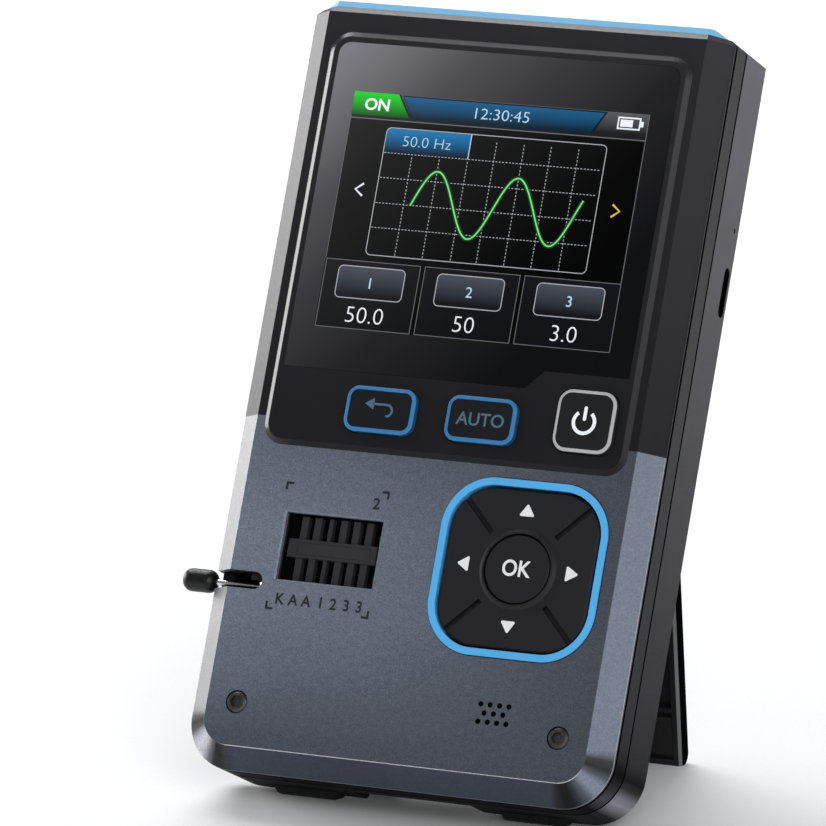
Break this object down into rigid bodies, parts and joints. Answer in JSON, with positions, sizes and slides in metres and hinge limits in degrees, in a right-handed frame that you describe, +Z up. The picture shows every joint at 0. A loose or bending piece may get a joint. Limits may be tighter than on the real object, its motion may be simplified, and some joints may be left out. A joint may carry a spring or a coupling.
{
  "type": "component tester",
  "caption": "Handheld component tester with a display, a clamping test socket and a key pad, leaning back on its fold-out stand.",
  "frame": {"origin": "middle of the footprint, on the floor", "axes": "+X to the viewer's right across the face, +Z up, the face looks towards -Y and leans back"},
  "size_m": [0.089, 0.079, 0.1353],
  "materials": {
    "black_plastic": "fine matte texture",
    "grey_metal": "metallic slate paint, satin",
    "lens": "clear black, polished",
    "lcd": "dark module",
    "ring_blue": "light blue, satin",
    "pad_black": "black rubber-like, satin",
    "pivot": "grey silicone",
    "power_cap": "black key with a pale rim",
    "key_blue": "black key with a blue rim",
    "board": "green solder mask",
    "switch": "moulded black",
    "zif_black": "moulded dark grey",
    "contact": "plated",
    "steel": "plain steel",
    "knob": "glossy black",
    "speaker": "black",
    "gold": "gold plated",
    "cap_blue": "light blue, satin",
    "usb_steel": "plain steel",
    "led": "clear light pipe",
    "cell": "foil pouch",
    "rear_plastic": "fine matte texture",
    "stand_black": "glossy black",
    "rubber": "black rubber",
    "screw": "black oxide"
  },
  "bodies": {
    "housing": {"front_shell": "black_plastic", "faceplate": "grey_metal", "display_lens": "lens", "lcd_module": "lcd", "light_ring": "ring_blue", "main_board": "board", "key_switches": "switch", "zif_base": "zif_black", "zif_contacts": "contact", "speaker": "speaker", "signal_sockets": "gold", "top_cap": "cap_blue", "usb_socket": "usb_steel", "charge_light": "led", "battery": "cell", "rear_shell": "rear_plastic", "stand_pins": "steel", "rubber_feet": "rubber", "front_screws": "screw", "rear_screws": "screw", "board_screws": "screw"},
    "stand_leg": {"stand": "stand_black", "stand_pad": "rubber"},
    "clamp_lever": {"zif_lever": "steel", "lever_knob": "knob"},
    "clamp_slider": {"zif_slider": "zif_black"},
    "pivot_ring": {"pad_pivot": "pivot"},
    "rocker": {"direction_pad": "pad_black"},
    "ok_button": {"ok_key": "pad_black"},
    "power_button": {"power_key": "power_cap"},
    "auto_button": {"auto_key": "key_blue"},
    "return_button": {"return_key": "key_blue"}
  },
  "joints": [
    {"name": "stand_fold", "type": "hinge", "parent": "housing", "child": "stand_leg", "pos_m": [0.00347, 0.01293, 0.06338], "axis": [-1, 0, 0], "range_deg": [0, 31]},
    {"name": "lever_swing", "type": "hinge", "parent": "housing", "child": "clamp_lever", "pos_m": [-0.02788, -0.02202, 0.03679], "axis": [0, 0.4327, 0.9015], "range_deg": [0, 90]},
    {"name": "slider_shift", "type": "slide", "parent": "housing", "child": "clamp_slider", "axis": [1, 0, 0], "range_m": [0, 0.0008]},
    {"name": "pad_tilt_sideways", "type": "hinge", "parent": "housing", "child": "pivot_ring", "pos_m": [0.02177, -0.02012, 0.04375], "axis": [0, 0.4327, 0.9015], "range_deg": [-2.2, 2.2], "stiffness_Nm_per_rad": 0.15},
    {"name": "pad_tilt_upright", "type": "hinge", "parent": "pivot_ring", "child": "rocker", "pos_m": [0.02177, -0.02012, 0.04375], "axis": [1, 0, 0], "range_deg": [-2.2, 2.2], "stiffness_Nm_per_rad": 0.15},
    {"name": "ok_press", "type": "slide", "parent": "housing", "child": "ok_button", "axis": [0, 0.9015, -0.4327], "range_m": [0, 0.0005], "stiffness_N_per_m": 400, "springref_m": -0.0005},
    {"name": "power_press", "type": "slide", "parent": "housing", "child": "power_button", "axis": [0, 0.9015, -0.4327], "range_m": [0, 0.0005], "stiffness_N_per_m": 400, "springref_m": -0.0005},
    {"name": "auto_press", "type": "slide", "parent": "housing", "child": "auto_button", "axis": [0, 0.9015, -0.4327], "range_m": [0, 0.0005], "stiffness_N_per_m": 400, "springref_m": -0.0005},
    {"name": "return_press", "type": "slide", "parent": "housing", "child": "return_button", "axis": [0, 0.9015, -0.4327], "range_m": [0, 0.0005], "stiffness_N_per_m": 400, "springref_m": -0.0005}
  ],
  "couplings": [
    {"joint": "slider_shift", "follows": "lever_swing", "m_per_rad": 0.00050929}
  ]
}
